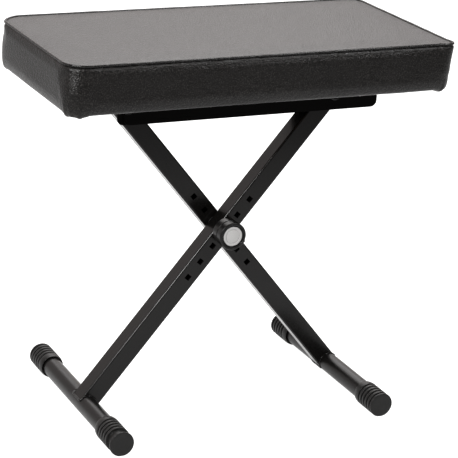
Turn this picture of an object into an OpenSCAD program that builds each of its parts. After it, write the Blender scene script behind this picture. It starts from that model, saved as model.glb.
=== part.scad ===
// Folding keyboard bench: a padded seat on one pair of crossed square tubes.
// X runs along the seat, Y from front to back, Z up, in millimetres.
// The origin is on the floor, under the middle of the seat.

/* [Seat] */
// Length of the seat along X
seat_len = 606; // [560:2:650]
// Depth of the seat along Y
seat_depth = 304; // [280:2:330]
// Height of the cushion's side, from the board's underside to the top seam
seat_h = 72; // [55:0.5:90]
// Radius of the cushion's upright corners
seat_corner_r = 34; // [20:1:60]
// Thickness of the vinyl cover
cover_t = 1.5; // [1:0.1:2.5]
// Width of the cover folded under the board
cover_lip = 28; // [15:1:40]
// Thickness of the plywood board
board_t = 12; // [9:1:18]
// How far the board's edge lies inside the cushion's side
board_inset = 12; // [6:1:14]
// Radius of the piping round the top edge
piping_r = 2; // [1.5:0.1:3]

/* [Legs] */
// Half the distance between the two top pivots, where the slots end
half_span = 168.6; // [160:0.1:175]
// Distance from the top pivot to the middle of the foot tube
leg_len = 600; // [590:1:620]
// Width of the square tube
leg_w = 30; // [25:1:30]
// Wall of the square tube
leg_wall = 1.6; // [1.2:0.1:2]
// Radius of the square tube's outer corners
leg_corner_r = 2.6; // [2:0.1:4]
// Gap between the two legs where they cross
leg_gap = 5; // [3:0.5:6]
// Distance from the top pivot to the first setting hole
hole_first = 204; // [200:1:210]
// Spacing of the setting holes
hole_pitch = 30; // [28:1:32]
// Number of setting holes in each leg
hole_count = 6; // [6:1:7]
// Setting hole that holds the bolt, counted from the top, starting at 0
hole_used = 2; // [0:1:5]
// Side of the square setting holes
hole_side = 8.4; // [8.3:0.1:9]

/* [Feet] */
// Overall length of a foot with its caps
foot_len = 348.5; // [330:0.5:370]
// Radius of the foot tube
foot_r = 15; // [14:0.5:16]
// Wall of the foot tube
foot_wall = 1.6; // [1.2:0.1:2.5]
// Radius of the foot cap
cap_r = 18.9; // [18:0.1:20]
// Length of the foot cap
cap_len = 54; // [52:1:60]
// Spacing of the ribs on the foot cap
rib_pitch = 8.4; // [8:0.1:8.8]
// Width of the grooves between the ribs
groove_w = 3.6; // [3:0.1:4.5]
// Thickness of the cap's closed end
cap_end = 5; // [4:0.5:8]
// Number of ribs on the foot cap
rib_count = 4; // [2:1:4]
// How far the front cap of leg A is screwed out to level the bench
level_out = 10; // [0:0.5:12]
// Height of the flat sole cut from the round cap
sole_cut = 0.6; // [0.3:0.1:1]

/* [Rail] */
// Distance from the board's underside down to the leg pivots
pivot_drop = 28; // [27:0.5:30]
// Depth of the rail's flanges
rail_h = 52; // [48:1:54]
// Inside half width of the rail
rail_in = 36; // [35.8:0.1:37]
// Thickness of the rail sheet
rail_t = 2; // [1.5:0.1:2.5]
// Reach of the rail to the left of the middle
rail_left = 173.5; // [170:0.5:180]
// Reach of the rail to the right of the middle
rail_right = 242; // [235:0.5:250]
// Reach of the pivot bracket to the left of the middle
bracket_left = 183; // [180:0.5:190]
// Length of the pivot bracket
bracket_len = 58; // [55:1:70]
// Thickness of the pivot bracket
bracket_t = 2.4; // [2:0.1:2.4]
// Radius of the lower corners of the rail and the bracket
plate_corner_r = 10; // [6:1:14]

/* [Knob] */
// Radius of the knob
knob_r = 21.5; // [18:0.1:22]
// Length of the knob in front of its washer
knob_len = 28; // [26:1:34]

/* [Fits] */
// Radial clearance of a turning fit
run_gap = 0.05; // [0.02:0.01:0.1]
// Clearance between parts that slide past each other
slide_gap = 0.3; // [0.2:0.05:0.5]

/* [Hidden] */
$fn = 64;
// Overshoot of every cutting shape
over = 1;

foot_z = cap_r - sole_cut;
bolt_dist = hole_first + hole_used * hole_pitch;
leg_angle = acos(half_span / bolt_dist);
below_bolt = leg_len - bolt_dist;
foot_x = below_bolt * cos(leg_angle);
bolt_z = foot_z + below_bolt * sin(leg_angle);
pivot_x = half_span;
pivot_z = bolt_z + bolt_dist * sin(leg_angle);
leg_y = (leg_gap + leg_w) / 2;
leg_face = leg_gap / 2 + leg_w;
leg_over = 14;

// Foot cap: end disc, groove shape, tapered mouth
disc_t = 4;
disc_bevel = 1.2;
groove_deep = 2.2;
groove_flank = 0.4;
mouth_gap = 1.8;
mouth_len = 5;
taper_len = 7;
taper_mid = [0.5, 3];
taper_end = 1.6;

// Plug in the top of a leg
plug_t = 2;
plug_deep = 6;
plug_wall = 2;
plug_corner_r = 1;

weld_leg = 2.6;
centre_r = 12.5;

seat_z = pivot_z + pivot_drop;
seat_top = seat_z + seat_h;
min_corner_r = 2;
rail_out = rail_in + rail_t;
rail_z = seat_z - rail_h;
lug_in = rail_in - bracket_t;
screw_x = [-145, -20, 100, 222];
screw_y = 20;
screw_head_r = 6;
screw_head_h = 3.2;
screw_len = 16;
socket_r = 2.4;
socket_deep = 2;
tee_r = 4.2;
tee_flange_r = 9;
tee_flange_t = 1.2;

// Bolts, nuts, bushes and spacers, all M8 except the M6 screws under the seat
m8_r = 4;
m6_r = 3;
hex_r = 7.5;
hex_h = 5.3;
nut_h = 7;
bush_r = 6;
slot_r = bush_r + slide_gap;
washer_r = 9;
washer_t = 1.5;
knob_washer_r = 12;
spacer_r = 7;
thread_over = 2;

// Clamp bolt and the nut moulded into the knob
neck_side = 8;
neck_len = 4.5;
head_r = 10;
head_h = 4.4;
bolt_end = 24;
bolt_short = 1;
nut_deep = 8;

// Knob: base, finger groove, rounded head, lug and pale disc
knob_base = 13;
knob_bevel = 1;
knob_step = 0.6;
knob_groove = 1.6;
knob_groove_flank = 0.7;
knob_groove_w = 2.7;
knob_round = 4.5;
lug_r = 3;
lug_angle = -28;
disc_r = 15;
disc_h = 1;
disc_in = 0.8;

// Staples that hold the cover's folded edge
crown = 10;
wire = 1.1;
staple_leg = 7;
staple_inset = 21;
staple_nx = 8;
staple_ny = 4;
staple_end_x = 64;
staple_end_y = 54;

// ---- shared shapes ----

// Rectangle with round corners, centred on the origin.
module round_rect(len, depth, r) {
    square([len - 2 * r, depth], center = true);
    square([len, depth - 2 * r], center = true);
    for (sx = [-1, 1], sy = [-1, 1])
        translate([sx * (len / 2 - r), sy * (depth / 2 - r)]) circle(r);
}

// Slab with the cushion's outline, drawn in from its edge by inset.
module seat_slab(inset, z, h) {
    translate([0, 0, z]) linear_extrude(h)
        round_rect(seat_len - 2 * inset, seat_depth - 2 * inset,
                   max(seat_corner_r - inset, min_corner_r));
}

// Straight round bar along Y between two positions.
module bar(r, y0, y1) {
    translate([0, y0, 0]) rotate([-90, 0, 0]) cylinder(r = r, h = y1 - y0);
}

// Tube along Y between two positions.
module ring(r, bore, y0, y1) {
    difference() {
        bar(r, y0, y1);
        bar(bore, y0 - over, y1 + over);
    }
}

// Hexagonal prism along Y between two positions.
module hex(y0, y1) {
    translate([0, y0, 0]) rotate([-90, 0, 0]) cylinder(r = hex_r, h = y1 - y0, $fn = 6);
}

// Hexagon nut along Y, with its threaded hole.
module hex_nut(y0, y1) {
    difference() {
        hex(y0, y1);
        bar(m8_r + run_gap, y0 - over, y1 + over);
    }
}

// Upright plate in the XZ plane with its two lower corners rounded.
module plate(x0, x1, z0, z1, y0, y1) {
    r = plate_corner_r;
    translate([0, y1, 0]) rotate([90, 0, 0]) linear_extrude(y1 - y0) {
        translate([x0, z0 + r]) square([x1 - x0, z1 - z0 - r]);
        translate([x0 + r, z0]) square([x1 - x0 - 2 * r, 2 * r]);
        translate([x0 + r, z0 + r]) circle(r);
        translate([x1 - r, z0 + r]) circle(r);
    }
}

// Places its children on leg A: origin at the crossing, X up along the leg.
module on_leg_a() {
    translate([0, 0, bolt_z]) rotate([0, -leg_angle, 0]) children();
}

// Places its children on leg B, which leans the other way.
module on_leg_b() {
    mirror([1, 0, 0]) on_leg_a() children();
}

// ---- cushion ----

// Step round the top edge that the piping lies in.
module seam_rebate() {
    rebate = 2 * piping_r;
    difference() {
        seat_slab(-over, seat_top - rebate, rebate + over);
        seat_slab(rebate, seat_top - rebate - over, rebate + 3 * over);
    }
}

module seat_board() {
    color("burlywood") difference() {
        seat_slab(board_inset, seat_z, board_t);
        for (x = screw_x, y = [-screw_y, screw_y])
            translate([x, y, seat_z - over]) cylinder(r = tee_r, h = board_t + 2 * over);
        staple_rows();
    }
}

// Foam over the board and round its edge.
module seat_foam() {
    color("khaki") difference() {
        seat_slab(cover_t, seat_z, seat_h - cover_t);
        seat_slab(board_inset, seat_z - over, board_t + over);
        seam_rebate();
        for (x = screw_x, y = [-screw_y, screw_y])
            translate([x, y, seat_z]) cylinder(r = tee_flange_r, h = board_t + tee_flange_t);
    }
}

module seat_cover() {
    color("#1c1c1e") difference() {
        seat_slab(0, seat_z - cover_t, seat_h + cover_t);
        seat_slab(cover_t, seat_z, seat_h - cover_t);
        seat_slab(cover_lip, seat_z - cover_t - over, cover_t + 2 * over);
        seam_rebate();
        staple_rows();
    }
}

module seat_piping() {
    x = seat_len / 2 - seat_corner_r;
    y = seat_depth / 2 - seat_corner_r;
    bend = seat_corner_r - piping_r;
    color("#111111") translate([0, 0, seat_top - piping_r]) {
        for (s = [-1, 1]) {
            translate([-x, s * (y + bend), 0]) rotate([0, 90, 0]) cylinder(r = piping_r, h = 2 * x);
            translate([s * (x + bend), y, 0]) rotate([90, 0, 0]) cylinder(r = piping_r, h = 2 * y);
        }
        for (i = [0:3]) {
            sx = (i == 0 || i == 3) ? 1 : -1;
            sy = (i < 2) ? 1 : -1;
            translate([sx * x, sy * y, 0]) rotate([0, 0, 90 * i])
                rotate_extrude(angle = 90) translate([bend, 0]) circle(piping_r, $fn = 24);
        }
    }
}

// One staple along X: its crown under the cover, its two legs up into the board.
module staple() {
    translate([-crown / 2, -wire / 2, -wire]) cube([crown, wire, wire]);
    for (s = [-1, 1])
        translate([s * (crown - wire) / 2 - wire / 2, -wire / 2, -wire])
            cube([wire, wire, staple_leg]);
}

// The four rows of staples round the underside.
module staple_rows() {
    dx = (seat_len - 2 * staple_end_x) / (staple_nx - 1);
    dy = (seat_depth - 2 * staple_end_y) / (staple_ny - 1);
    translate([0, 0, seat_z - cover_t]) {
        for (i = [0:staple_nx - 1], s = [-1, 1])
            translate([i * dx - seat_len / 2 + staple_end_x, s * (seat_depth / 2 - staple_inset), 0])
                staple();
        for (i = [0:staple_ny - 1], s = [-1, 1])
            translate([s * (seat_len / 2 - staple_inset), i * dy - seat_depth / 2 + staple_end_y, 0])
                rotate([0, 0, 90]) staple();
    }
}

module cover_staples() {
    color("silver") staple_rows();
}

module tee_nuts() {
    color("silver") for (x = screw_x, y = [-screw_y, screw_y])
        translate([x, y, seat_z]) difference() {
            union() {
                cylinder(r = tee_r, h = board_t);
                translate([0, 0, board_t]) cylinder(r = tee_flange_r, h = tee_flange_t);
            }
            translate([0, 0, -over])
                cylinder(r = m6_r + run_gap, h = board_t + tee_flange_t + 2 * over);
        }
}

// ---- rail under the seat ----

module seat_rail() {
    color("#202022") difference() {
        union() {
            translate([-rail_left, -rail_out, seat_z - rail_t])
                cube([rail_left + rail_right, 2 * rail_out, rail_t]);
            plate(-rail_left, rail_right, rail_z, seat_z, -rail_out, -rail_in);
            plate(-rail_left, rail_right, rail_z, seat_z, rail_in, rail_out);
        }
        for (x = screw_x, y = [-screw_y, screw_y])
            translate([x, y, seat_z - rail_t - over])
                cylinder(r = m6_r + slide_gap, h = rail_t + 2 * over);
        translate([-pivot_x, 0, pivot_z]) bar(m8_r + run_gap, -rail_out - over, rail_out + over);
        translate([pivot_x, 0, pivot_z]) bar(slot_r, -rail_out - over, rail_out + over);
        translate([pivot_x, -rail_out - over, pivot_z - slot_r])
            cube([rail_right, 2 * (rail_out + over), 2 * slot_r]);
    }
}

module rail_screws() {
    color("silver") for (x = screw_x, y = [-screw_y, screw_y]) {
        seat_face = seat_z - rail_t - (x == screw_x[0] ? bracket_t : 0);
        translate([x, y, seat_face - screw_head_h]) difference() {
            union() {
                cylinder(r = screw_head_r, h = screw_head_h);
                cylinder(r = m6_r, h = screw_len);
            }
            translate([0, 0, -over]) cylinder(r = socket_r, h = socket_deep + over, $fn = 6);
        }
    }
}

module pivot_bracket() {
    x1 = bracket_len - bracket_left;
    top = seat_z - rail_t;
    color("#161617") difference() {
        union() {
            translate([-bracket_left, -rail_in, top - bracket_t])
                cube([bracket_len, 2 * rail_in, bracket_t]);
            plate(-bracket_left, x1, rail_z, top, -rail_in, -lug_in);
            plate(-bracket_left, x1, rail_z, top, lug_in, rail_in);
        }
        for (y = [-screw_y, screw_y])
            translate([screw_x[0], y, top - bracket_t - over])
                cylinder(r = m6_r + slide_gap, h = bracket_t + 2 * over);
        translate([-pivot_x, 0, pivot_z]) bar(m8_r + run_gap, -rail_in - over, rail_in + over);
    }
}

module pivot_bolt() {
    color("dimgray") translate([-pivot_x, 0, pivot_z]) {
        hex(-rail_out - hex_h, -rail_out);
        bar(m8_r, -rail_out - over, rail_out + nut_h + thread_over);
    }
}

module pivot_nut() {
    color("silver") translate([-pivot_x, 0, pivot_z]) hex_nut(rail_out, rail_out + nut_h);
}

module pivot_spacer() {
    color("dimgray") translate([-pivot_x, 0, pivot_z])
        ring(spacer_r, m8_r + run_gap, -lug_in, leg_gap / 2 - slide_gap);
}

// ---- parts that both legs share, drawn at the crossing with X up along the leg ----

// Square tube whose middle line runs at the given Y, coped onto the foot tube.
module leg_tube(y, top_hole_r) {
    inner = leg_w - 2 * leg_wall;
    difference() {
        translate([-below_bolt, y, 0]) rotate([90, 0, 90])
            linear_extrude(leg_len + leg_over) difference() {
                round_rect(leg_w, leg_w, leg_corner_r);
                round_rect(inner, inner, leg_corner_r - leg_wall);
            }
        translate([-below_bolt, 0, 0]) bar(foot_r, y - leg_w, y + leg_w);
        translate([bolt_dist, 0, 0]) bar(top_hole_r, y - leg_w, y + leg_w);
        for (i = [0:hole_count - 1])
            translate([bolt_dist - hole_first - i * hole_pitch, y, 0])
                cube([hole_side, 2 * leg_w, hole_side], center = true);
    }
}

// Plastic plug in the open top end of a leg.
module leg_plug(y) {
    body = leg_w - 2 * (leg_wall + run_gap);
    hollow = body - 2 * plug_wall;
    translate([bolt_dist + leg_over, y, 0]) rotate([90, 0, 90]) {
        linear_extrude(plug_t) round_rect(leg_w, leg_w, leg_corner_r);
        translate([0, 0, -plug_deep]) linear_extrude(plug_deep) difference() {
            round_rect(body, body, plug_corner_r);
            round_rect(hollow, hollow, plug_corner_r);
        }
    }
}

// Weld fillets where the leg's front and rear faces meet the foot tube.
module leg_weld(y) {
    translate([-below_bolt, y, 0]) for (s = [-1, 1])
        translate([0, s * leg_w / 2, 0]) rotate([-90 * s, 0, 0]) rotate([0, 0, -90])
            rotate_extrude(angle = 180)
                polygon([[foot_r, 0], [foot_r + weld_leg, 0], [foot_r, weld_leg]]);
}

// Foot tube across the bottom of a leg.
module foot_tube() {
    half = foot_len / 2 - cap_end;
    translate([-foot_x, 0, foot_z]) ring(foot_r, foot_r - foot_wall, -half, half);
}

// Rubber foot cap, drawn for the front end and mirrored for the rear.
// The outline runs from the end face over the ribs to the open mouth, then back inside.
// Its end disc stands off from the ribs by reach where the cap is screwed out to level the bench.
module foot_cap(front, reach) {
    root_r = cap_r - groove_deep;
    len = cap_len + reach;
    first_end = disc_t + groove_w + reach;
    outline = concat(
        [[0, 0], [cap_r - disc_bevel, 0], [cap_r, disc_bevel], [cap_r, disc_t],
         [root_r, disc_t + groove_flank], [root_r, first_end - groove_flank], [cap_r, first_end]],
        [for (i = [1:rib_count],
              p = [[cap_r, 0], [root_r, groove_flank], [root_r, groove_w - groove_flank],
                   [cap_r, groove_w]])
            p + [0, disc_t + reach + i * rib_pitch]],
        [[cap_r, len - taper_len], [cap_r - taper_mid[0], len - taper_mid[1]],
         [cap_r - taper_end, len], [foot_r + mouth_gap, len],
         [foot_r + mouth_gap, len - mouth_len], [foot_r, len - mouth_len],
         [foot_r, cap_end], [0, cap_end]]);
    difference() {
        translate([-foot_x, 0, foot_z]) mirror([0, front ? 0 : 1, 0])
            translate([0, -foot_len / 2, 0]) rotate([-90, 0, 0])
                rotate_extrude() polygon(outline);
        translate([-foot_x, 0, -cap_r]) cube([2 * cap_r, 2 * foot_len, 2 * cap_r], center = true);
    }
}

// ---- leg B, behind, hinged to the rail ----

module leg_b_tube() {
    color("#26262a") on_leg_b() leg_tube(leg_y, bush_r + run_gap);
}

module leg_b_bush() {
    color("#202023") translate([-pivot_x, 0, pivot_z])
        ring(bush_r, m8_r + run_gap, leg_gap / 2, leg_face);
}

module leg_b_plug() {
    color("#151515") on_leg_b() leg_plug(leg_y);
}

module leg_b_foot() {
    color("#26262a") mirror([1, 0, 0]) foot_tube();
}

module leg_b_weld() {
    color("#26262a") on_leg_b() leg_weld(leg_y);
}

module leg_b_cap_front() {
    color("#18181a") mirror([1, 0, 0]) foot_cap(true, 0);
}

module leg_b_cap_rear() {
    color("#18181a") mirror([1, 0, 0]) foot_cap(false, 0);
}

module centre_spacer() {
    color("#151515") translate([0, 0, bolt_z])
        ring(centre_r, m8_r + slide_gap, run_gap - leg_gap / 2, leg_gap / 2);
}

// ---- leg A, in front, sliding in the rail ----

module leg_a_tube() {
    color("#26262a") on_leg_a() leg_tube(-leg_y, m8_r + run_gap);
}

module leg_a_plug() {
    color("#151515") on_leg_a() leg_plug(-leg_y);
}

module leg_a_foot() {
    color("#26262a") foot_tube();
}

module leg_a_weld() {
    color("#26262a") on_leg_a() leg_weld(-leg_y);
}

module leg_a_cap_front() {
    color("#18181a") foot_cap(true, level_out);
}

module leg_a_cap_rear() {
    color("#18181a") foot_cap(false, 0);
}

module knob_washer() {
    color("silver") translate([0, 0, bolt_z])
        ring(knob_washer_r, m8_r + slide_gap, -leg_face - washer_t, -leg_face);
}

module slide_pin() {
    head_y = rail_out + slide_gap + washer_t;
    color("dimgray") translate([pivot_x, 0, pivot_z]) {
        hex(-head_y - hex_h, -head_y);
        bar(m8_r, -head_y - over, head_y + nut_h + thread_over);
    }
}

module slide_nut() {
    seat_y = rail_out + slide_gap + washer_t;
    color("silver") translate([pivot_x, 0, pivot_z]) hex_nut(seat_y, seat_y + nut_h);
}

// Flanged nylon bushes that run in the rail's two slots, each with its outer washer.
module slide_bushes() {
    bore = m8_r + run_gap;
    shoulder = rail_in - slide_gap;
    outer = rail_out + slide_gap;
    color("#202023") translate([pivot_x, 0, pivot_z]) {
        ring(washer_r, bore, -shoulder, -leg_face);
        ring(bush_r, bore, -outer, -shoulder);
        ring(washer_r, bore, -outer - washer_t, -outer);
        ring(washer_r, bore, leg_face, shoulder);
        ring(bush_r, bore, shoulder, outer);
        ring(washer_r, bore, outer, outer + washer_t);
    }
}

module slide_spacer() {
    color("dimgray") translate([pivot_x, 0, pivot_z])
        ring(spacer_r, m8_r + run_gap, -leg_gap / 2, leg_face);
}

// ---- clamp at the crossing ----

module knob_body() {
    base_r = knob_r - knob_step;
    root_r = base_r - knob_groove;
    head = knob_base + knob_groove_w;
    outline = concat(
        [[0, 0], [base_r - knob_bevel, 0], [base_r, knob_bevel], [base_r, knob_base],
         [root_r, knob_base + knob_groove_flank], [root_r, head - knob_groove_flank], [knob_r, head],
         [knob_r, knob_len - knob_round]],
        [for (a = [15:15:90])
            [knob_r + knob_round * (cos(a) - 1), knob_len + knob_round * (sin(a) - 1)]],
        [[disc_r, knob_len - disc_in], [disc_r, knob_len - disc_in - disc_h],
         [0, knob_len - disc_in - disc_h]]);
    color("#1b1b1d") translate([0, -leg_face - washer_t, bolt_z]) difference() {
        union() {
            rotate([90, 0, 0]) rotate_extrude() polygon(outline);
            rotate([90, 0, 0])
                translate([knob_r * cos(lug_angle), knob_r * sin(lug_angle), head])
                    cylinder(r = lug_r, h = knob_len - knob_round - head, $fn = 24);
        }
        bar(m8_r + run_gap, -bolt_end, over);
        translate([0, -nut_deep, 0]) rotate([-90, 0, 0])
            cylinder(r = hex_r, h = nut_deep + over, $fn = 6);
    }
}

module knob_nut() {
    color("goldenrod") translate([0, -leg_face - washer_t, bolt_z]) hex_nut(-nut_deep, 0);
}

module knob_disc() {
    color("gainsboro") translate([0, -leg_face - washer_t - knob_len + disc_in, bolt_z])
        bar(disc_r, 0, disc_h);
}

module clamp_bolt() {
    ball_r = (head_r * head_r + head_h * head_h) / (2 * head_h);
    steps = 6;
    sweep = asin(head_r / ball_r);
    dome = concat([[0, 0]], [for (i = [0:steps])
        [ball_r * sin(sweep * (1 - i / steps)), ball_r * cos(sweep * (1 - i / steps)) - ball_r + head_h]]);
    color("dimgray") translate([0, 0, bolt_z]) {
        translate([0, leg_face, 0]) rotate([-90, 0, 0]) rotate_extrude() polygon(dome);
        on_leg_slope() translate([0, leg_face - neck_len / 2, 0])
            cube([neck_side, neck_len, neck_side], center = true);
        bar(m8_r, -leg_face - washer_t - bolt_end + bolt_short, leg_face);
    }
}

// Turns its children to leg B's slope.
module on_leg_slope() {
    rotate([0, leg_angle, 0]) children();
}

seat_board();
seat_foam();
seat_cover();
seat_piping();
cover_staples();
tee_nuts();
seat_rail();
rail_screws();
pivot_bracket();
pivot_bolt();
pivot_nut();
pivot_spacer();
leg_b_tube();
leg_b_bush();
leg_b_plug();
leg_b_foot();
leg_b_weld();
leg_b_cap_front();
leg_b_cap_rear();
centre_spacer();
leg_a_tube();
leg_a_plug();
leg_a_foot();
leg_a_weld();
leg_a_cap_front();
leg_a_cap_rear();
knob_washer();
slide_pin();
slide_nut();
slide_bushes();
slide_spacer();
knob_body();
knob_nut();
knob_disc();
clamp_bolt();
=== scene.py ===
"""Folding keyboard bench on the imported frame: a stitched vinyl cushion on crossed square tubes.

Everything is in metres in the frame's axes: X along the seat, Y from front to back, Z up.
"""
import math

import bmesh
import bpy
from mathutils import Matrix, Vector, noise


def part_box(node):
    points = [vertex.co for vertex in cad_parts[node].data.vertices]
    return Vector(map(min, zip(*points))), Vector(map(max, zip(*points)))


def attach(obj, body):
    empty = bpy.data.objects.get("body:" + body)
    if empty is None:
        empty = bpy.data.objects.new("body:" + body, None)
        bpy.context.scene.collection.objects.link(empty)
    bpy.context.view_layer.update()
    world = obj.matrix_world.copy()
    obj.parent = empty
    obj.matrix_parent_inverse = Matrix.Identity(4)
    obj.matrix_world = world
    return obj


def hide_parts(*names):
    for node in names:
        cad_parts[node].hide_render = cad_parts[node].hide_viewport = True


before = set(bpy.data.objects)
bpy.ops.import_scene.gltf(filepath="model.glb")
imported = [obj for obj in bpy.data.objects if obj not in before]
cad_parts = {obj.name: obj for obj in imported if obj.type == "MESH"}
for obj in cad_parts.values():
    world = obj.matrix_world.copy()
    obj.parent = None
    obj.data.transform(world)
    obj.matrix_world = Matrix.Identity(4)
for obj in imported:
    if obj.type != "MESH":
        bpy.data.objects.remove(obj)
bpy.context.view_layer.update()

MM = 0.001

# ---------------------------------------------------------------- shared mesh helpers


def span(node):
    """Middle and size of a CAD node's box."""
    lo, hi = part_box(node)
    return (lo + hi) / 2, hi - lo


def new_object(name, verts, faces, material, smooth_angle=35):
    """A mesh piece with one material, smooth except at edges sharper than smooth_angle."""
    mesh = bpy.data.meshes.new(name)
    mesh.from_pydata([tuple(v) for v in verts], [], faces)
    mesh.validate()
    mesh.shade_smooth()
    mesh.set_sharp_from_angle(angle=math.radians(smooth_angle))
    mesh.materials.append(material)
    piece = bpy.data.objects.new(name, mesh)
    bpy.context.scene.collection.objects.link(piece)
    return piece


def rounded_profile(corners, steps=4):
    """Points of an open outline whose corners (r, s, radius) are turned into arcs."""
    points = []
    for i, (r, s, radius) in enumerate(corners):
        here = Vector((r, s))
        if radius == 0 or i in (0, len(corners) - 1):
            points.append(here)
            continue
        before = (Vector(corners[i - 1][:2]) - here)
        after = (Vector(corners[i + 1][:2]) - here)
        reach = min(radius, before.length * 0.49, after.length * 0.49)
        start = here + before.normalized() * reach
        end = here + after.normalized() * reach
        for k in range(steps + 1):
            t = k / steps
            points.append(start.lerp(here, t).lerp(here.lerp(end, t), t))
    return points


def lathe(name, profile, centre, along, material, segments=96, smooth_angle=40):
    """Turns (radius, distance) points round an axis parallel to Y; along is its way, +1 or -1."""
    verts, faces = [], []
    for r, s in profile:
        for k in range(segments):
            a = 2 * math.pi * k / segments
            verts.append(Vector((centre.x + r * math.cos(a), centre.y + along * s,
                                 centre.z + r * math.sin(a))))
    rows = len(profile)
    for i in range(rows - 1):
        for k in range(segments):
            quad = [i * segments + k, i * segments + (k + 1) % segments,
                    (i + 1) * segments + (k + 1) % segments, (i + 1) * segments + k]
            faces.append(quad if along > 0 else quad[::-1])
    faces.append([k for k in range(segments)][::-1 if along > 0 else 1])
    faces.append([(rows - 1) * segments + k for k in range(segments)][::1 if along > 0 else -1])
    return new_object(name, verts, faces, material, smooth_angle)


def sweep(name, path, radius_at, material, sides=12, closed=True):
    """Round bar along a list of points; radius_at(i) gives its radius at each point."""
    count = len(path)
    verts, faces = [], []
    side = None
    for i, p in enumerate(path):
        ahead = path[(i + 1) % count] if closed else path[min(i + 1, count - 1)]
        behind = path[i - 1] if closed else path[max(i - 1, 0)]
        tangent = (ahead - behind).normalized()
        if side is None:
            side = tangent.orthogonal().normalized()
        side = (side - tangent * side.dot(tangent)).normalized()
        up = tangent.cross(side)
        for k in range(sides):
            a = 2 * math.pi * k / sides
            verts.append(p + (side * math.cos(a) + up * math.sin(a)) * radius_at(i))
    rings = count if closed else count - 1
    shift = best_twist(verts, count, sides) if closed else 0
    for i in range(rings):
        j = (i + 1) % count
        turn = shift if j < i else 0
        for k in range(sides):
            faces.append([i * sides + k, i * sides + (k + 1) % sides,
                          j * sides + (k + 1 + turn) % sides, j * sides + (k + turn) % sides])
    if not closed:
        faces.append([k for k in range(sides)][::-1])
        faces.append([(count - 1) * sides + k for k in range(sides)])
    return new_object(name, verts, faces, material, 60)


def best_twist(verts, count, sides):
    """How many places the last ring of a closed sweep is turned against the first."""
    last = verts[(count - 1) * sides]
    return min(range(sides), key=lambda k: (verts[k] - last).length)


def softened(node, width, material, segments=2, angle=35):
    """Copy of a CAD node with its sharp edges rounded, shown in the node's place."""
    piece = bpy.data.objects.new(node + "_eased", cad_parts[node].data.copy())
    bpy.context.scene.collection.objects.link(piece)
    bm = bmesh.new()
    bm.from_mesh(piece.data)
    bmesh.ops.remove_doubles(bm, verts=bm.verts, dist=0.002 * MM)
    bmesh.ops.dissolve_limit(bm, angle_limit=math.radians(0.3), verts=bm.verts, edges=bm.edges)
    bm.to_mesh(piece.data)
    bm.free()
    piece.data.shade_smooth()
    piece.data.materials.clear()
    piece.data.materials.append(material)
    bevel = piece.modifiers.new("ease", "BEVEL")
    bevel.width = width
    bevel.segments = segments
    bevel.limit_method = "ANGLE"
    bevel.angle_limit = math.radians(angle)
    even = piece.modifiers.new("even", "WEIGHTED_NORMAL")
    even.weight = 60
    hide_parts(node)
    return piece


# ---------------------------------------------------------------- materials


def material(name, colour, roughness, specular=0.5, metallic=0.0):
    """A Principled material and its node tree, ready for bump and colour detail."""
    mat = bpy.data.materials.new(name)
    mat.use_nodes = True
    shader = mat.node_tree.nodes["Principled BSDF"]
    shader.inputs["Base Color"].default_value = (*colour, 1)
    shader.inputs["Roughness"].default_value = roughness
    shader.inputs["Specular IOR Level"].default_value = specular
    shader.inputs["Metallic"].default_value = metallic
    return mat, mat.node_tree, shader


def texture(tree, kind, scale, **sockets):
    """A texture node on object coordinates, in features per metre."""
    coords = tree.nodes.get("Coords") or tree.nodes.new("ShaderNodeTexCoord")
    coords.name = "Coords"
    node = tree.nodes.new(kind)
    node.inputs["Scale"].default_value = scale
    for name, value in sockets.items():
        node.inputs[name.replace("_", " ")].default_value = value
    tree.links.new(coords.outputs["Object"], node.inputs["Vector"])
    return node


def ramp(tree, source, low, high, dark, light):
    """Maps a texture value from low..high to dark..light grey or numbers."""
    node = tree.nodes.new("ShaderNodeMapRange")
    for name, value in (("From Min", low), ("From Max", high), ("To Min", dark), ("To Max", light)):
        node.inputs[name].default_value = value
    tree.links.new(source, node.inputs["Value"])
    return node.outputs["Result"]


def tint(tree, factor, one, two):
    """Colour that moves from one to two with factor."""
    node = tree.nodes.new("ShaderNodeMix")
    node.data_type = "RGBA"
    node.inputs["A"].default_value = (*one, 1)
    node.inputs["B"].default_value = (*two, 1)
    tree.links.new(factor, node.inputs["Factor"])
    return node.outputs["Result"]


def bump(tree, shader, height, distance, strength=1.0, below=None):
    """Adds a bump to the shader, on top of an earlier one if below is given."""
    node = tree.nodes.new("ShaderNodeBump")
    node.inputs["Distance"].default_value = distance
    node.inputs["Strength"].default_value = strength
    tree.links.new(height, node.inputs["Height"])
    if below is not None:
        tree.links.new(below, node.inputs["Normal"])
    tree.links.new(node.outputs["Normal"], shader.inputs["Normal"])
    return node.outputs["Normal"]


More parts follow.
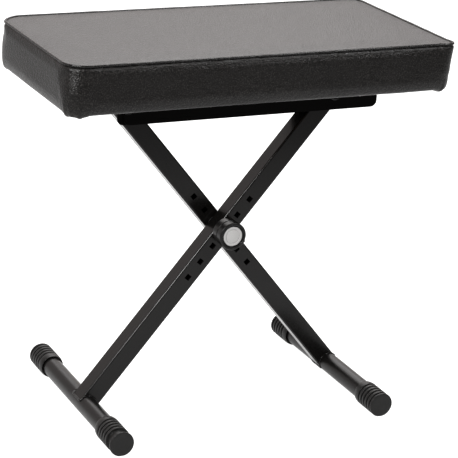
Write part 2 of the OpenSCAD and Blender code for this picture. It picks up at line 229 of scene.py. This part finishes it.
def vinyl(name, relief, smoothest, roughest):
    """Black upholstery vinyl with a soft sheen; relief scales the depth of its pebble grain."""
    mat, tree, shader = material(name, (0.0125, 0.0116, 0.0111), 0.36, 0.29)
    grain = texture(tree, "ShaderNodeTexVoronoi", 560, Randomness=1.0)
    pebble = ramp(tree, grain.outputs["Distance"], 0.05, 0.75, 1.0, 0.0)
    clump = texture(tree, "ShaderNodeTexNoise", 620, Detail=1.0, Roughness=0.5)
    speck = ramp(tree, clump.outputs["Fac"], 0.5, 0.68, 0, 1)
    cloud = texture(tree, "ShaderNodeTexNoise", 26, Detail=3.0, Roughness=0.6)
    ground = tint(tree, ramp(tree, cloud.outputs["Fac"], 0.35, 0.65, 0, 1),
                  (0.0052, 0.0048, 0.0045), (0.007, 0.0065, 0.0061))
    # Paler specks on the raised parts of the grain, over a darker mottled ground.
    pale_specks = tree.nodes.new("ShaderNodeMix")
    pale_specks.data_type = "RGBA"
    tree.links.new(speck, pale_specks.inputs["Factor"])
    tree.links.new(ground, pale_specks.inputs["A"])
    pale_specks.inputs["B"].default_value = (0.03, 0.0277, 0.0264, 1)
    tree.links.new(pale_specks.outputs["Result"], shader.inputs["Base Color"])
    tree.links.new(ramp(tree, clump.outputs["Fac"], 0.35, 0.65, smoothest, roughest),
                   shader.inputs["Roughness"])
    first = bump(tree, shader, clump.outputs["Fac"], 0.5 * MM * relief, 0.5)
    second = bump(tree, shader, pebble, 0.3 * MM * relief, 0.8, first)
    crease = texture(tree, "ShaderNodeTexNoise", 250, Detail=2.0, Roughness=0.6)
    bump(tree, shader, crease.outputs["Fac"], 0.8 * MM * relief, 1.0, second)
    return mat


def powder_coat(name, smoothest, roughest):
    """Satin black powder coat with a faint orange peel."""
    mat, tree, shader = material(name, (0.0052, 0.0048, 0.0045), 0.28, 0.32)
    peel = texture(tree, "ShaderNodeTexNoise", 650, Detail=2.0)
    cloud = texture(tree, "ShaderNodeTexNoise", 40, Detail=4.0, Roughness=0.65)
    tree.links.new(ramp(tree, cloud.outputs["Fac"], 0.3, 0.7, smoothest, roughest),
                   shader.inputs["Roughness"])
    bump(tree, shader, peel.outputs["Fac"], 0.04 * MM, 0.3)
    return mat


def rail_paint_and_shade():
    """Flat black stoving paint of the folded sheet under the seat, also laid on the feet caps' necks as
    painted shade.
    """
    mat, tree, shader = material("rail_paint_and_shade", (0.0022, 0.0021, 0.002), 0.5, 0.05)
    peel = texture(tree, "ShaderNodeTexNoise", 800, Detail=3.0)
    tree.links.new(ramp(tree, peel.outputs["Fac"], 0.3, 0.7, 0.42, 0.55),
                   shader.inputs["Roughness"])
    bump(tree, shader, peel.outputs["Fac"], 0.05 * MM, 0.4)
    return mat


def rubber():
    """Dull black rubber with a fine moulded tooth and a little dust."""
    mat, tree, shader = material("foot_rubber", (0.011, 0.0106, 0.0103), 0.42, 0.33)
    tooth = texture(tree, "ShaderNodeTexNoise", 1500, Detail=4.0)
    dust = texture(tree, "ShaderNodeTexNoise", 70, Detail=5.0, Roughness=0.7)
    tree.links.new(tint(tree, ramp(tree, dust.outputs["Fac"], 0.45, 0.75, 0, 1),
                        (0.007, 0.0068, 0.0065), (0.0115, 0.0111, 0.0107)),
                   shader.inputs["Base Color"])
    bump(tree, shader, tooth.outputs["Fac"], 0.08 * MM, 0.5)
    return mat


def moulded(name, colour, roughness, specular=0.5):
    """Moulded plastic with a fine spark-eroded texture."""
    mat, tree, shader = material(name, colour, roughness, specular)
    tooth = texture(tree, "ShaderNodeTexNoise", 1800, Detail=3.0)
    cloud = texture(tree, "ShaderNodeTexNoise", 60, Detail=3.0)
    tree.links.new(ramp(tree, cloud.outputs["Fac"], 0.3, 0.7, roughness - 0.05, roughness + 0.05),
                   shader.inputs["Roughness"])
    bump(tree, shader, tooth.outputs["Fac"], 0.04 * MM, 0.4)
    return mat


def steel(name, colour, roughness, specular=0.5, metallic=1.0):
    """Plated or blackened steel with fine scratches and uneven gloss."""
    mat, tree, shader = material(name, colour, roughness, specular, metallic)
    scratch = texture(tree, "ShaderNodeTexNoise", 900, Detail=6.0, Roughness=0.75)
    tree.links.new(ramp(tree, scratch.outputs["Fac"], 0.3, 0.7, roughness - 0.08, roughness + 0.1),
                   shader.inputs["Roughness"])
    bump(tree, shader, scratch.outputs["Fac"], 0.02 * MM, 0.3)
    return mat


def plywood():
    """Plain plywood with a long grain along X."""
    mat, tree, shader = material("plywood", (0.42, 0.30, 0.19), 0.7, 0.3)
    coords = tree.nodes.new("ShaderNodeTexCoord")
    squeeze = tree.nodes.new("ShaderNodeMapping")
    squeeze.inputs["Scale"].default_value = (6, 90, 90)
    tree.links.new(coords.outputs["Object"], squeeze.inputs["Vector"])
    grain = tree.nodes.new("ShaderNodeTexNoise")
    grain.inputs["Scale"].default_value = 2.5
    grain.inputs["Detail"].default_value = 6.0
    grain.inputs["Distortion"].default_value = 0.6
    tree.links.new(squeeze.outputs["Vector"], grain.inputs["Vector"])
    tree.links.new(tint(tree, ramp(tree, grain.outputs["Fac"], 0.35, 0.68, 0, 1),
                        (0.30, 0.19, 0.105), (0.52, 0.385, 0.25)), shader.inputs["Base Color"])
    bump(tree, shader, grain.outputs["Fac"], 0.1 * MM, 0.5)
    return mat


VINYL = vinyl("vinyl", 1.0, 0.29, 0.43)
PIPING = vinyl("piping_vinyl", 0.2, 0.2, 0.3)
COAT = powder_coat("powder_coat", 0.17, 0.25)
FOOT_COAT = powder_coat("foot_powder_coat", 0.29, 0.37)
RAIL_PAINT_AND_SHADE = rail_paint_and_shade()
RUBBER = rubber()
KNOB = moulded("knob_plastic", (0.0075, 0.0072, 0.007), 0.32, 0.3)
BLACK_PLASTIC = moulded("black_plastic", (0.02, 0.02, 0.02), 0.5)
NYLON = moulded("nylon", (0.022, 0.022, 0.023), 0.45)
DISC = moulded("disc_plastic", (0.355, 0.351, 0.347), 0.45)
ZINC = steel("zinc_steel", (0.62, 0.62, 0.61), 0.34)
BLACK_STEEL = steel("black_steel", (0.007, 0.0067, 0.0064), 0.42, 0.2, 0.0)
BRASS = steel("brass_insert", (0.72, 0.52, 0.24), 0.35)
WOOD = plywood()

# ---------------------------------------------------------------- cushion

PIPING_R = 2.0 * MM      # the piping's radius
SEAM_IN = 3.4 * MM       # how far the seam lies inside the seat's outline
CORNER_R = 34 * MM       # side of the corner squares of the mesh, and the widest bend
CORNER_STEPS = 8         # grid steps across a corner square
GRID = 6 * MM            # grid step between the corner squares
CLOTH_FRAMES = 20
# How far the cloth may move the points of each region.
SWELL_LIMIT = {"top": 2.5 * MM, "side": 1.4 * MM, "seam": 0, "lip": 0}
FOLD_ANGLES = (14, 33, 52, 72)     # degrees round the bend
RIDGE_ANGLES = (64, 24)

seat_size = span("seat_cover")[1]
seat_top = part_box("seat_cover")[1].z
seat_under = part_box("seat_cover")[0].z
half_x = seat_size.x / 2
half_y = seat_size.y / 2

# Each corner's radius, how far the cover is drawn in at its foot, and how far it stands out
# along the diagonal at the seam and at the foot.
CORNERS = {(-1, -1): (34 * MM, 1.0 * MM, 0, 6.5 * MM), (1, -1): (24 * MM, 3 * MM, 7 * MM, 5 * MM),
           (1, 1): (24 * MM, 3 * MM, 0, 0), (-1, 1): (32 * MM, 0, -3.5 * MM, 2 * MM)}


def stations(half):
    """Grid lines across the seat, with even steps in the corner squares and between them."""
    middle = round((2 * half - 2 * CORNER_R) / GRID)
    flat = half - CORNER_R
    return ([-half + CORNER_R * i / CORNER_STEPS for i in range(CORNER_STEPS)]
            + [-flat + 2 * flat * i / middle for i in range(middle)]
            + [flat + CORNER_R * i / CORNER_STEPS for i in range(CORNER_STEPS + 1)])


def at_corner(p):
    """The nearest corner's signs and radius, and how far p is past its bend's centre in X and in Y."""
    key = (1 if p.x > 0 else -1, 1 if p.y > 0 else -1)
    bend = CORNERS[key][0]
    return key, bend, abs(p.x) - (half_x - bend), abs(p.y) - (half_y - bend)


def rounded_plan(x, y):
    """Moves a point of the seat's rectangle onto its round-cornered plan."""
    _, bend, dx, dy = at_corner(Vector((x, y, 0)))
    if dx > 0 and dy > 0:
        a, b = dx / bend, dy / bend
        px = half_x - bend + dx * math.sqrt(1 - b * b / 2)
        py = half_y - bend + dy * math.sqrt(1 - a * a / 2)
        return Vector((math.copysign(px, x), math.copysign(py, y), 0))
    return Vector((x, y, 0))


def outward(p):
    """Outward direction of the plan at an edge point."""
    _, _, dx, dy = at_corner(p)
    if dx > 0 and dy > 0:
        return Vector((math.copysign(dx, p.x), math.copysign(dy, p.y), 0)).normalized()
    if half_x - abs(p.x) < half_y - abs(p.y):
        return Vector((math.copysign(1, p.x), 0, 0))
    return Vector((0, math.copysign(1, p.y), 0))


def ear(p, depth):
    """How far a corner of the cover stands out at a depth from 0 at the seam to 1 at the foot."""
    key, _, dx, dy = at_corner(p)
    if dx <= 0 or dy <= 0:
        return Vector((0, 0, 0))
    at_seam, at_foot = CORNERS[key][2:]
    reach = at_seam + (at_foot - at_seam) * ease(depth / 0.6)
    return Vector((*key, 0)).normalized() * reach * (2 * dx * dy / (dx * dx + dy * dy)) ** 0.9


def cushion_mesh():
    """Closed quad mesh of the cushion and the names of its regions by vertex."""
    xs, ys = stations(half_x), stations(half_y)
    nx, ny = len(xs), len(ys)
    shrink_x = (half_x - SEAM_IN) / half_x
    shrink_y = (half_y - SEAM_IN) / half_y
    verts, region = [], []
    for y in ys:
        for x in xs:
            p = rounded_plan(x, y)
            rim = max(abs(p.x) - half_x, abs(p.y) - half_y) + CORNER_R
            p = p + ear(p, 0) * max(0, rim / CORNER_R)
            verts.append(Vector((p.x * shrink_x, p.y * shrink_y, seat_top - 1.2 * MM)))
            region.append("top")
    faces = [[j * nx + i, j * nx + i + 1, (j + 1) * nx + i + 1, (j + 1) * nx + i]
             for j in range(ny - 1) for i in range(nx - 1)]
    loop = ([(i, 0) for i in range(nx - 1)] + [(nx - 1, j) for j in range(ny - 1)]
            + [(i, ny - 1) for i in range(nx - 1, 0, -1)] + [(0, j) for j in range(ny - 1, 0, -1)])
    edge = [rounded_plan(xs[i], ys[j]) for i, j in loop]
    ring = [j * nx + i for i, j in loop]
    for k in ring:
        region[k] = "seam"
    height = seat_top - seat_under
    side = [(SEAM_IN, 3.6 * MM, "seam"), (3.2 * MM, 4.3 * MM, "seam"), (1.7 * MM, 5.0 * MM, "side"),
            (0.6 * MM, 6.2 * MM, "side"), (0.2 * MM, 8 * MM, "side")]
    side += [(0.2 * MM, d * MM, "side") for d in range(11, 62, 4)]
    side += [(1.2 * MM, height - 6.5 * MM, "side"), (3.2 * MM, height - 3 * MM, "side"),
             (6.5 * MM, height - 0.8 * MM, "lip"), (11 * MM, height, "lip"),
             (17 * MM, height, "lip"), (23 * MM, height, "lip"), (28 * MM, height, "lip"),
             (28.6 * MM, height - 3.5 * MM, "lip")]
    for inset, drop, name in side:
        start = len(verts)
        for p in edge:
            q = p - outward(p) * inset + ear(p, drop / height)
            verts.append(Vector((q.x, q.y, seat_top - drop)))
            region.append(name)
        new_ring = list(range(start, start + len(edge)))
        count = len(edge)
        faces += [[ring[k], new_ring[k], new_ring[(k + 1) % count], ring[(k + 1) % count]]
                  for k in range(count)]
        ring = new_ring
    faces.append(ring)
    return verts, faces, region


def corner_weight(p):
    """A point's share of its corner's tuck, its angle round the bend in degrees, and the corner."""
    key, _, dx, dy = at_corner(p)
    if dx > 0 and dy > 0:
        angle = math.degrees(math.atan2(dy, dx))
        return 0.45 + 0.55 * math.sin(math.radians(2 * angle)), angle, key
    away = -min(dx, dy) / (45 * MM)
    return 0.45 * max(0.0, 1 - away) ** 2, 0.0, key


def ease(t):
    """Smooth step from 0 to 1."""
    t = max(0.0, min(1.0, t))
    return t * t * (3 - 2 * t)


def tailored(p, name, rest):
    """Folds, puckers and slack that the cloth simulation is too coarse to give."""
    drop = seat_top - rest.z
    depth = drop / (seat_top - seat_under)
    out = outward(rest) if name != "top" else Vector((0, 0, 1))
    along = Vector((rest.x, rest.y, 0))
    if name == "top":
        rim = min(half_x - abs(rest.x), half_y - abs(rest.y))
        swell = noise.noise(rest * 9) * 0.5 * MM + noise.noise(rest * 24 + Vector((4, 1, 0))) * 0.22 * MM
        return p + out * swell * ease(rim / (25 * MM))
    if name == "seam":
        return p
    weight, angle, key = corner_weight(rest)
    pucker = noise.noise(along * 55) * 0.55 * MM + noise.noise(along * 130) * 0.25 * MM
    p = p + out * pucker * ease(1 - abs(drop - 7 * MM) / (5 * MM))
    slack = noise.noise(rest * 7 + Vector((0, 3, 9))) * 0.7 * MM + noise.noise(rest * 22) * 0.3 * MM
    p = p + out * slack * ease(drop / (20 * MM))
    tuck = CORNERS[key][1] * weight
    waist = (0.55 * max(0.0, depth - 0.06) / 0.6 * (depth < 0.66) + 0.55 * (depth >= 0.66)
             + 0.45 * ease((depth - 0.6) / 0.1)) * tuck
    p = p - out * waist
    if angle:
        for k, at in enumerate(FOLD_ANGLES):
            width = 5.5 + 1.5 * noise.noise(Vector((k, key[0] * 3, key[1] * 5)))
            fold = math.exp(-((angle - at) / width) ** 2)
            p = p - out * fold * 1.9 * MM * ease((depth - 0.62) / 0.34)
        ridge = sum(math.exp(-((angle - at) / 9) ** 2) for at in RIDGE_ANGLES)
        p = p - Vector((0, 0, 1.2 * MM + 2 * MM * ridge)) * ease((depth - 0.88) / 0.1)
    if name == "lip":
        p = p + Vector((0, 0, noise.noise(along * 45) * 0.35 * MM))
    return p


def simulate(piece, pinned):
    """Blows the cushion up a little with Blender's cloth, holding the pinned vertices."""
    group = piece.vertex_groups.new(name="held")
    group.add(pinned, 1.0, "REPLACE")
    cloth = piece.modifiers.new("cloth", "CLOTH")
    settings = cloth.settings
    settings.quality = 5
    settings.mass = 0.3
    settings.tension_stiffness = 40
    settings.compression_stiffness = 40
    settings.shear_stiffness = 20
    settings.bending_stiffness = 4
    settings.use_pressure = True
    settings.uniform_pressure_force = 4
    settings.vertex_group_mass = "held"
    settings.effector_weights.gravity = 0
    scene = bpy.context.scene
    scene.frame_start, scene.frame_end = 1, CLOTH_FRAMES
    cloth.point_cache.frame_start, cloth.point_cache.frame_end = 1, CLOTH_FRAMES
    for number in range(1, CLOTH_FRAMES + 1):
        scene.frame_set(number)
    evaluated = piece.evaluated_get(bpy.context.evaluated_depsgraph_get())
    moved = [v.co.copy() for v in evaluated.data.vertices]
    piece.modifiers.remove(cloth)
    scene.frame_set(1)
    return moved


def make_cushion():
    """The padded seat: cloth-blown, capped region by region, then tailored and subdivided."""
    verts, faces, region = cushion_mesh()
    piece = new_object("cushion", verts, faces, VINYL, 50)
    moved = simulate(piece, [i for i, r in enumerate(region) if SWELL_LIMIT[r] == 0])
    for i, vertex in enumerate(piece.data.vertices):
        step = moved[i] - verts[i]
        limit = SWELL_LIMIT[region[i]]
        if step.length > limit:
            step *= limit / step.length if limit else 0
        vertex.co = tailored(verts[i] + step, region[i], verts[i])
    finer = piece.modifiers.new("finer", "SUBSURF")
    finer.levels = finer.render_levels = 1
    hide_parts("seat_cover", "seat_foam")
    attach(piece, "seat")


def plan_path(inset, z, step):
    """Evenly spaced points round the seat's plan."""
    points = []
    keys = ((1, 1), (-1, 1), (-1, -1), (1, -1))
    headings = (Vector((-1, 0, 0)), Vector((0, -1, 0)), Vector((1, 0, 0)), Vector((0, 1, 0)))
    for k, key in enumerate(keys):
        bend = CORNERS[key][0]
        centre = Vector((key[0] * (half_x - bend), key[1] * (half_y - bend), z))
        turns = max(8, round(bend * math.pi / 2 / step))
        arc = [centre + Vector((math.cos(a), math.sin(a), 0)) * (bend - inset)
               for a in (math.pi / 2 * (k + i / turns) for i in range(turns + 1))]
        points += [p + ear(p, 0) for p in arc]
        after = CORNERS[keys[(k + 1) % 4]][0]
        run = 2 * (half_x if k % 2 == 0 else half_y) - bend - after
        count = round(run / step)
        points += [points[-1] + headings[k] * run * i / count for i in range(1, count)]
    return points


def make_piping():
    """Welted piping over the top seam, a little uneven as sewn piping is."""
    path = plan_path(2.3 * MM, seat_top - 1.7 * MM, 3 * MM)
    path = [p + Vector((noise.noise(p * 40), noise.noise(p * 40 + Vector((7, 0, 0))),
                        noise.noise(p * 30 + Vector((0, 7, 0))))) * 0.25 * MM for p in path]
    piece = sweep("piping", path,
                  lambda i: PIPING_R * (1 + 0.05 * noise.noise(path[i] * 90)), PIPING, 14)
    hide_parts("seat_piping")
    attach(piece, "seat")


make_cushion()
make_piping()

# ---------------------------------------------------------------- feet

RIB_PITCH = 8.4 * MM
GROOVE_W = 3.6 * MM
GROOVE_DEPTH = 2.9 * MM
DISC_T = 4 * MM          # the cap's end disc
CAP_LENGTH = 54 * MM     # of a cap that isn't screwed out
MOUTH_DEPTH = 5 * MM     # of the open end round the tube
RIBS = 4
WELD_STEP = 5            # degrees between the points round a weld
LEG_W = span("leg_a_tube")[1].y


def make_cap(node, front, body):
    """Ribbed rubber cap turned from the node's box, with rounded ribs and a flat sole; a screwed-out
    cap's neck gets painted shade.
    """
    lo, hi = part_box(node)
    tube_lo, tube_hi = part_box(body + "_foot")
    tube_r = (tube_hi.x - tube_lo.x) / 2
    radius = (hi.x - lo.x) / 2
    length = hi.y - lo.y
    centre = Vector(((lo.x + hi.x) / 2, lo.y if front else hi.y, hi.z - radius))
    reach = length - CAP_LENGTH
    first_end = DISC_T + GROOVE_W + reach
    inner = radius - GROOVE_DEPTH
    neck = tube_r + 0.3 * MM if reach > GROOVE_W else inner
    corners = [(0.2 * MM, 0, 0), (radius - 6 * MM, 0, 0), (radius, 0, 1.6 * MM),
               (radius, DISC_T, 0.8 * MM), (neck, DISC_T + 0.4 * MM, 0.6 * MM),
               (neck, first_end - 0.4 * MM, 0.6 * MM), (radius, first_end, 0.9 * MM)]
    for i in range(1, RIBS + 1):
        at = DISC_T + reach + i * RIB_PITCH
        corners += [(radius, at, 0.9 * MM), (inner, at + 0.4 * MM, 0.6 * MM),
                    (inner, at + GROOVE_W - 0.4 * MM, 0.6 * MM), (radius, at + GROOVE_W, 0.9 * MM)]
    mouth_r = tube_r + 1.8 * MM
    corners += [(radius, length - 7 * MM, 3 * MM), (radius - 0.5 * MM, length - 3 * MM, 2 * MM),
                (radius - 1.2 * MM, length, 0.7 * MM), (mouth_r, length, 0.5 * MM),
                (mouth_r, length - MOUTH_DEPTH, 0.3 * MM), (tube_r, length - MOUTH_DEPTH, 0)]
    piece = lathe(node + "_rubber", rounded_profile(corners, 3), centre, 1 if front else -1, RUBBER,
                  72, 50)
    # Painted shade: the neck of a screwed-out cap, between its end disc and first rib, takes the flat
    # black paint.
    if neck > inner:
        piece.data.materials.append(RAIL_PAINT_AND_SHADE)
        for face in piece.data.polygons:
            off = math.hypot(face.center.x - centre.x, face.center.z - centre.z)
            deep = abs(face.center.y - centre.y)
            if off < radius - 0.6 * MM and DISC_T - 0.2 * MM < deep < first_end:
                face.material_index = 1
    for vertex in piece.data.vertices:
        vertex.co.z = max(vertex.co.z, lo.z)
    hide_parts(node)
    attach(piece, body)


def leg_slope(body):
    """Angle of a leg above the floor, from its tube's box less the width of the tube."""
    size = span(body + "_tube")[1]
    return math.atan2(size.z - LEG_W * 0.95, abs(size.x - LEG_W * 1.15))


def make_weld(body, lean, bead):
    """Rippled bead where a square leg meets its foot tube; lean is the leg's side, +1 or -1."""
    weld_lo, weld_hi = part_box(body + "_weld")
    foot_mid, foot_size = span(body + "_foot")
    tube_r = foot_size.x / 2
    fillet = 2.6 * MM
    y_front, y_rear = weld_lo.y + fillet, weld_hi.y - fillet
    toward = math.pi / 2 + lean * (math.pi / 2 - leg_slope(body))
    ring = tube_r + 0.2 * MM
    path = []
    for y, way in ((y_front, 1), (y_rear, -1)):
        for i in range(180 // WELD_STEP + 1):
            a = toward + way * math.radians(-90 + WELD_STEP * i)
            path.append(Vector((foot_mid.x + ring * math.cos(a), y, foot_mid.z + ring * math.sin(a))))
        other = y_rear if way == 1 else y_front
        last = path[-1]
        path += [Vector((last.x, y + (other - y) * t / 14, last.z)) for t in range(1, 14)]
    piece = sweep(body + "_weld_bead", path,
                  lambda i: bead * (1 + 0.2 * math.sin(2 * math.pi * i * 0.55)
                                    + 0.12 * noise.noise(path[i] * 300)), COAT, 10)
    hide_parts(body + "_weld")
    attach(piece, body)


for body in ("leg_a", "leg_b"):
    make_cap(body + "_cap_front", True, body)
    make_cap(body + "_cap_rear", False, body)
make_weld("leg_a", -1, 1.7 * MM)
make_weld("leg_b", 1, 1.1 * MM)

# ---------------------------------------------------------------- knob


def make_knob():
    """Clamp knob: a plain barrel, a shallow groove and a rounded head round a pale disc."""
    lo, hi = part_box("knob_body")
    disc_mid, disc_size = span("knob_disc")
    centre = Vector((disc_mid.x, hi.y, disc_mid.z))
    length = hi.y - lo.y
    radius = centre.x - lo.x
    disc_r = disc_size.x / 2
    base_r = radius - 0.6 * MM
    base = 13 * MM
    groove_r = base_r - 1.6 * MM
    recess = length - 2.2 * MM
    corners = [(0.2 * MM, 0, 0), (base_r - 2 * MM, 0, 0), (base_r, 0, 1.2 * MM),
               (base_r, base, 1.0 * MM), (groove_r, base + 0.7 * MM, 0.5 * MM),
               (groove_r, base + 2 * MM, 0.5 * MM), (radius, base + 2.7 * MM, 1.2 * MM),
               (radius, length, 4.5 * MM), (disc_r + 2.6 * MM, length, 1.0 * MM),
               (disc_r + 2.2 * MM, recess, 0.4 * MM), (0.2 * MM, recess, 0)]
    body = lathe("knob_shell", rounded_profile(corners, 7), centre, -1, KNOB, 96, 50)
    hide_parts("knob_body")
    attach(body, "knob")
    angle = math.radians(-28)
    lug_r = 3 * MM
    lug_length = length - base - 5 * MM
    lug_at = Vector((centre.x + radius * math.cos(angle), centre.y - base - 2 * MM,
                     centre.z + radius * math.sin(angle)))
    lug = lathe("knob_lug", rounded_profile([(0.1 * MM, 0, 0), (lug_r, 0, 1 * MM),
                                             (lug_r, lug_length, 1.4 * MM),
                                             (0.1 * MM, lug_length, 0)], 4),
                lug_at, -1, KNOB, 32, 50)
    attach(lug, "knob")
    back = disc_mid.y + disc_size.y / 2 + 0.6 * MM
    ring = disc_r * 0.72
    face_t, ring_t = 1.6 * MM, 1.0 * MM
    disc = lathe("knob_face", rounded_profile(
        [(0.1 * MM, 0, 0), (disc_r, 0, 0), (disc_r, face_t, 0.3 * MM),
         (ring + 0.7 * MM, face_t, 0.1 * MM), (ring + 0.4 * MM, ring_t, 0.1 * MM),
         (ring - 0.4 * MM, ring_t, 0.1 * MM), (ring - 0.7 * MM, face_t, 0.1 * MM),
         (0.1 * MM, face_t, 0)], 2), Vector((disc_mid.x, back, disc_mid.z)), -1, DISC, 96, 30)
    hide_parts("knob_disc")
    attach(disc, "knob")


make_knob()

# ---------------------------------------------------------------- CAD nodes

# Node: bevel width in mm, finish, body and material slot.
EASED = {
    "seat_rail": (0.6, RAIL_PAINT_AND_SHADE, "seat", "powder_coat"),
    "pivot_bracket": (0.6, RAIL_PAINT_AND_SHADE, "seat", "powder_coat"),
    "leg_a_tube": (0.35, COAT, "leg_a", "powder_coat"),
    "leg_b_tube": (0.35, COAT, "leg_b", "powder_coat"),
    "leg_a_foot": (0.3, FOOT_COAT, "leg_a", "powder_coat"),
    "leg_b_foot": (0.3, FOOT_COAT, "leg_b", "powder_coat"),
    "leg_a_plug": (0.5, BLACK_PLASTIC, "leg_a", "black_plastic"),
    "leg_b_plug": (0.5, BLACK_PLASTIC, "leg_b", "black_plastic"),
    "centre_spacer": (0.4, BLACK_PLASTIC, "leg_b", "black_plastic"),
    "slide_bushes": (0.25, NYLON, "leg_a", "nylon"),
    "pivot_nut": (0.4, BLACK_STEEL, "seat", "black_steel"),
    "slide_nut": (0.4, BLACK_STEEL, "leg_a", "black_steel"),
    "rail_screws": (0.5, ZINC, "seat", "zinc_steel"),
    "knob_washer": (0.25, ZINC, "leg_a", "zinc_steel"),
    "clamp_bolt": (0.3, BLACK_STEEL, "clamp", "black_steel"),
    "pivot_bolt": (0.4, BLACK_STEEL, "seat", "black_steel"),
    "slide_pin": (0.4, BLACK_STEEL, "leg_a", "black_steel"),
}
for node, (width, finish, body, slot) in EASED.items():
    piece = softened(node, width * MM, finish)
    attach(piece, body)

FINISH = {"seat_board": WOOD, "cover_staples": ZINC,
          "tee_nuts": ZINC, "pivot_spacer": BLACK_STEEL, "slide_spacer": BLACK_STEEL,
          "leg_b_bush": NYLON, "knob_nut": BRASS}
for node, finish in FINISH.items():
    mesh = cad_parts[node].data
    mesh.materials.clear()
    mesh.materials.append(finish)

# ---------------------------------------------------------------- floor, light and camera


# Where the glow starts and where it is full, in metres, and its strength at both.
GLOW_BY_Y = (-1.7, -0.5, 0.0, 0.95)
GLOW_BY_X = (-1.1, -0.45, 0.3, 1.0)


def make_floor():
    """Grey floor whose painted glow makes it white in this camera's view; dark in front, dim on the
    left.
    """
    size = 30
    lift = -0.2 * MM
    mat, tree, shader = material("floor_painted_glow", (0.25, 0.25, 0.25), 0.9, 0.1)
    shader.inputs["Emission Color"].default_value = (1, 1, 1, 1)
    coords = tree.nodes.new("ShaderNodeTexCoord")
    split = tree.nodes.new("ShaderNodeSeparateXYZ")
    tree.links.new(coords.outputs["Object"], split.inputs["Vector"])
    glow = tree.nodes.new("ShaderNodeMath")
    glow.operation = "MULTIPLY"
    tree.links.new(ramp(tree, split.outputs["Y"], *GLOW_BY_Y), glow.inputs[0])
    tree.links.new(ramp(tree, split.outputs["X"], *GLOW_BY_X), glow.inputs[1])
    tree.links.new(glow.outputs["Value"], shader.inputs["Emission Strength"])
    floor = new_object("floor", [Vector((x, y, lift)) for x, y in
                                 ((-size, -size), (size, -size), (size, size), (-size, size))],
                       [[0, 1, 2, 3]], mat)


def make_world():
    """Soft studio surround: bright behind and to the right, dim in front."""
    world = bpy.data.worlds.new("studio")
    world.use_nodes = True
    bpy.context.scene.world = world
    tree = world.node_tree
    coords = tree.nodes.new("ShaderNodeTexCoord")
    split = tree.nodes.new("ShaderNodeSeparateXYZ")
    tree.links.new(coords.outputs["Generated"], split.inputs["Vector"])
    back = ramp(tree, split.outputs["Y"], -0.3, 0.85, 0.12, 1.16)
    right = ramp(tree, split.outputs["X"], -0.5, 0.45, 0.85, 0.97)
    both = tree.nodes.new("ShaderNodeMath")
    both.operation = "MULTIPLY"
    tree.links.new(back, both.inputs[0])
    tree.links.new(right, both.inputs[1])
    background = tree.nodes["Background"]
    tree.links.new(both.outputs["Value"], background.inputs["Strength"])
    background.inputs["Color"].default_value = (1, 0.93, 0.912, 1)


def make_light(name, place, target, size, power):
    """Rectangular area light at place, aimed at target, with its two sides and its watts."""
    data = bpy.data.lights.new(name, "AREA")
    data.shape = "RECTANGLE"
    data.size, data.size_y = size
    data.energy = power
    lamp = bpy.data.objects.new(name, data)
    bpy.context.scene.collection.objects.link(lamp)
    lamp.location = place
    lamp.rotation_euler = (Vector(target) - Vector(place)).to_track_quat("-Z", "Y").to_euler()


CAMERA_AT = (-1.1870, -2.4802, 1.2316)
CAMERA_TURN = (25.995, 19.288, 3.199)    # azimuth, elevation and roll in degrees
CAMERA_LENS = 150.1


def make_camera():
    """Camera a little above the seat, to its front left, with a long lens."""
    azimuth, elevation, roll = (math.radians(v) for v in CAMERA_TURN)
    ahead = Vector((math.sin(azimuth) * math.cos(elevation),
                    math.cos(azimuth) * math.cos(elevation), -math.sin(elevation)))
    right = Vector((math.cos(azimuth), -math.sin(azimuth), 0))
    up = right.cross(ahead)
    across = right * math.cos(roll) + up * math.sin(roll)
    upward = up * math.cos(roll) - right * math.sin(roll)
    data = bpy.data.cameras.new("camera")
    data.sensor_width = 36
    data.lens = CAMERA_LENS
    camera = bpy.data.objects.new("camera", data)
    bpy.context.scene.collection.objects.link(camera)
    turn = Matrix((across, upward, -ahead)).transposed().to_4x4()
    camera.matrix_world = Matrix.Translation(CAMERA_AT) @ turn
    bpy.context.scene.camera = camera


make_floor()
make_world()
make_light("overhead", (0.0, 0.3, 2.0), (0, 0.3, 0), (1.8, 1.8), 40)
make_light("key", (0.95, -1.5, 1.8), (0, 0, 0.4), (0.5, 0.35), 29)
make_light("left_box", (-1.75, -1.1, 1.6), (0, 0, 0.35), (0.7, 0.7), 74)
make_light("back_floor", (1.2, 2.6, 2.4), (1.2, 2.6, 0), (3.0, 3.0), 95)
make_camera()
bpy.context.scene.view_settings.view_transform = "Standard"
bpy.context.scene.view_settings.gamma = 0.85
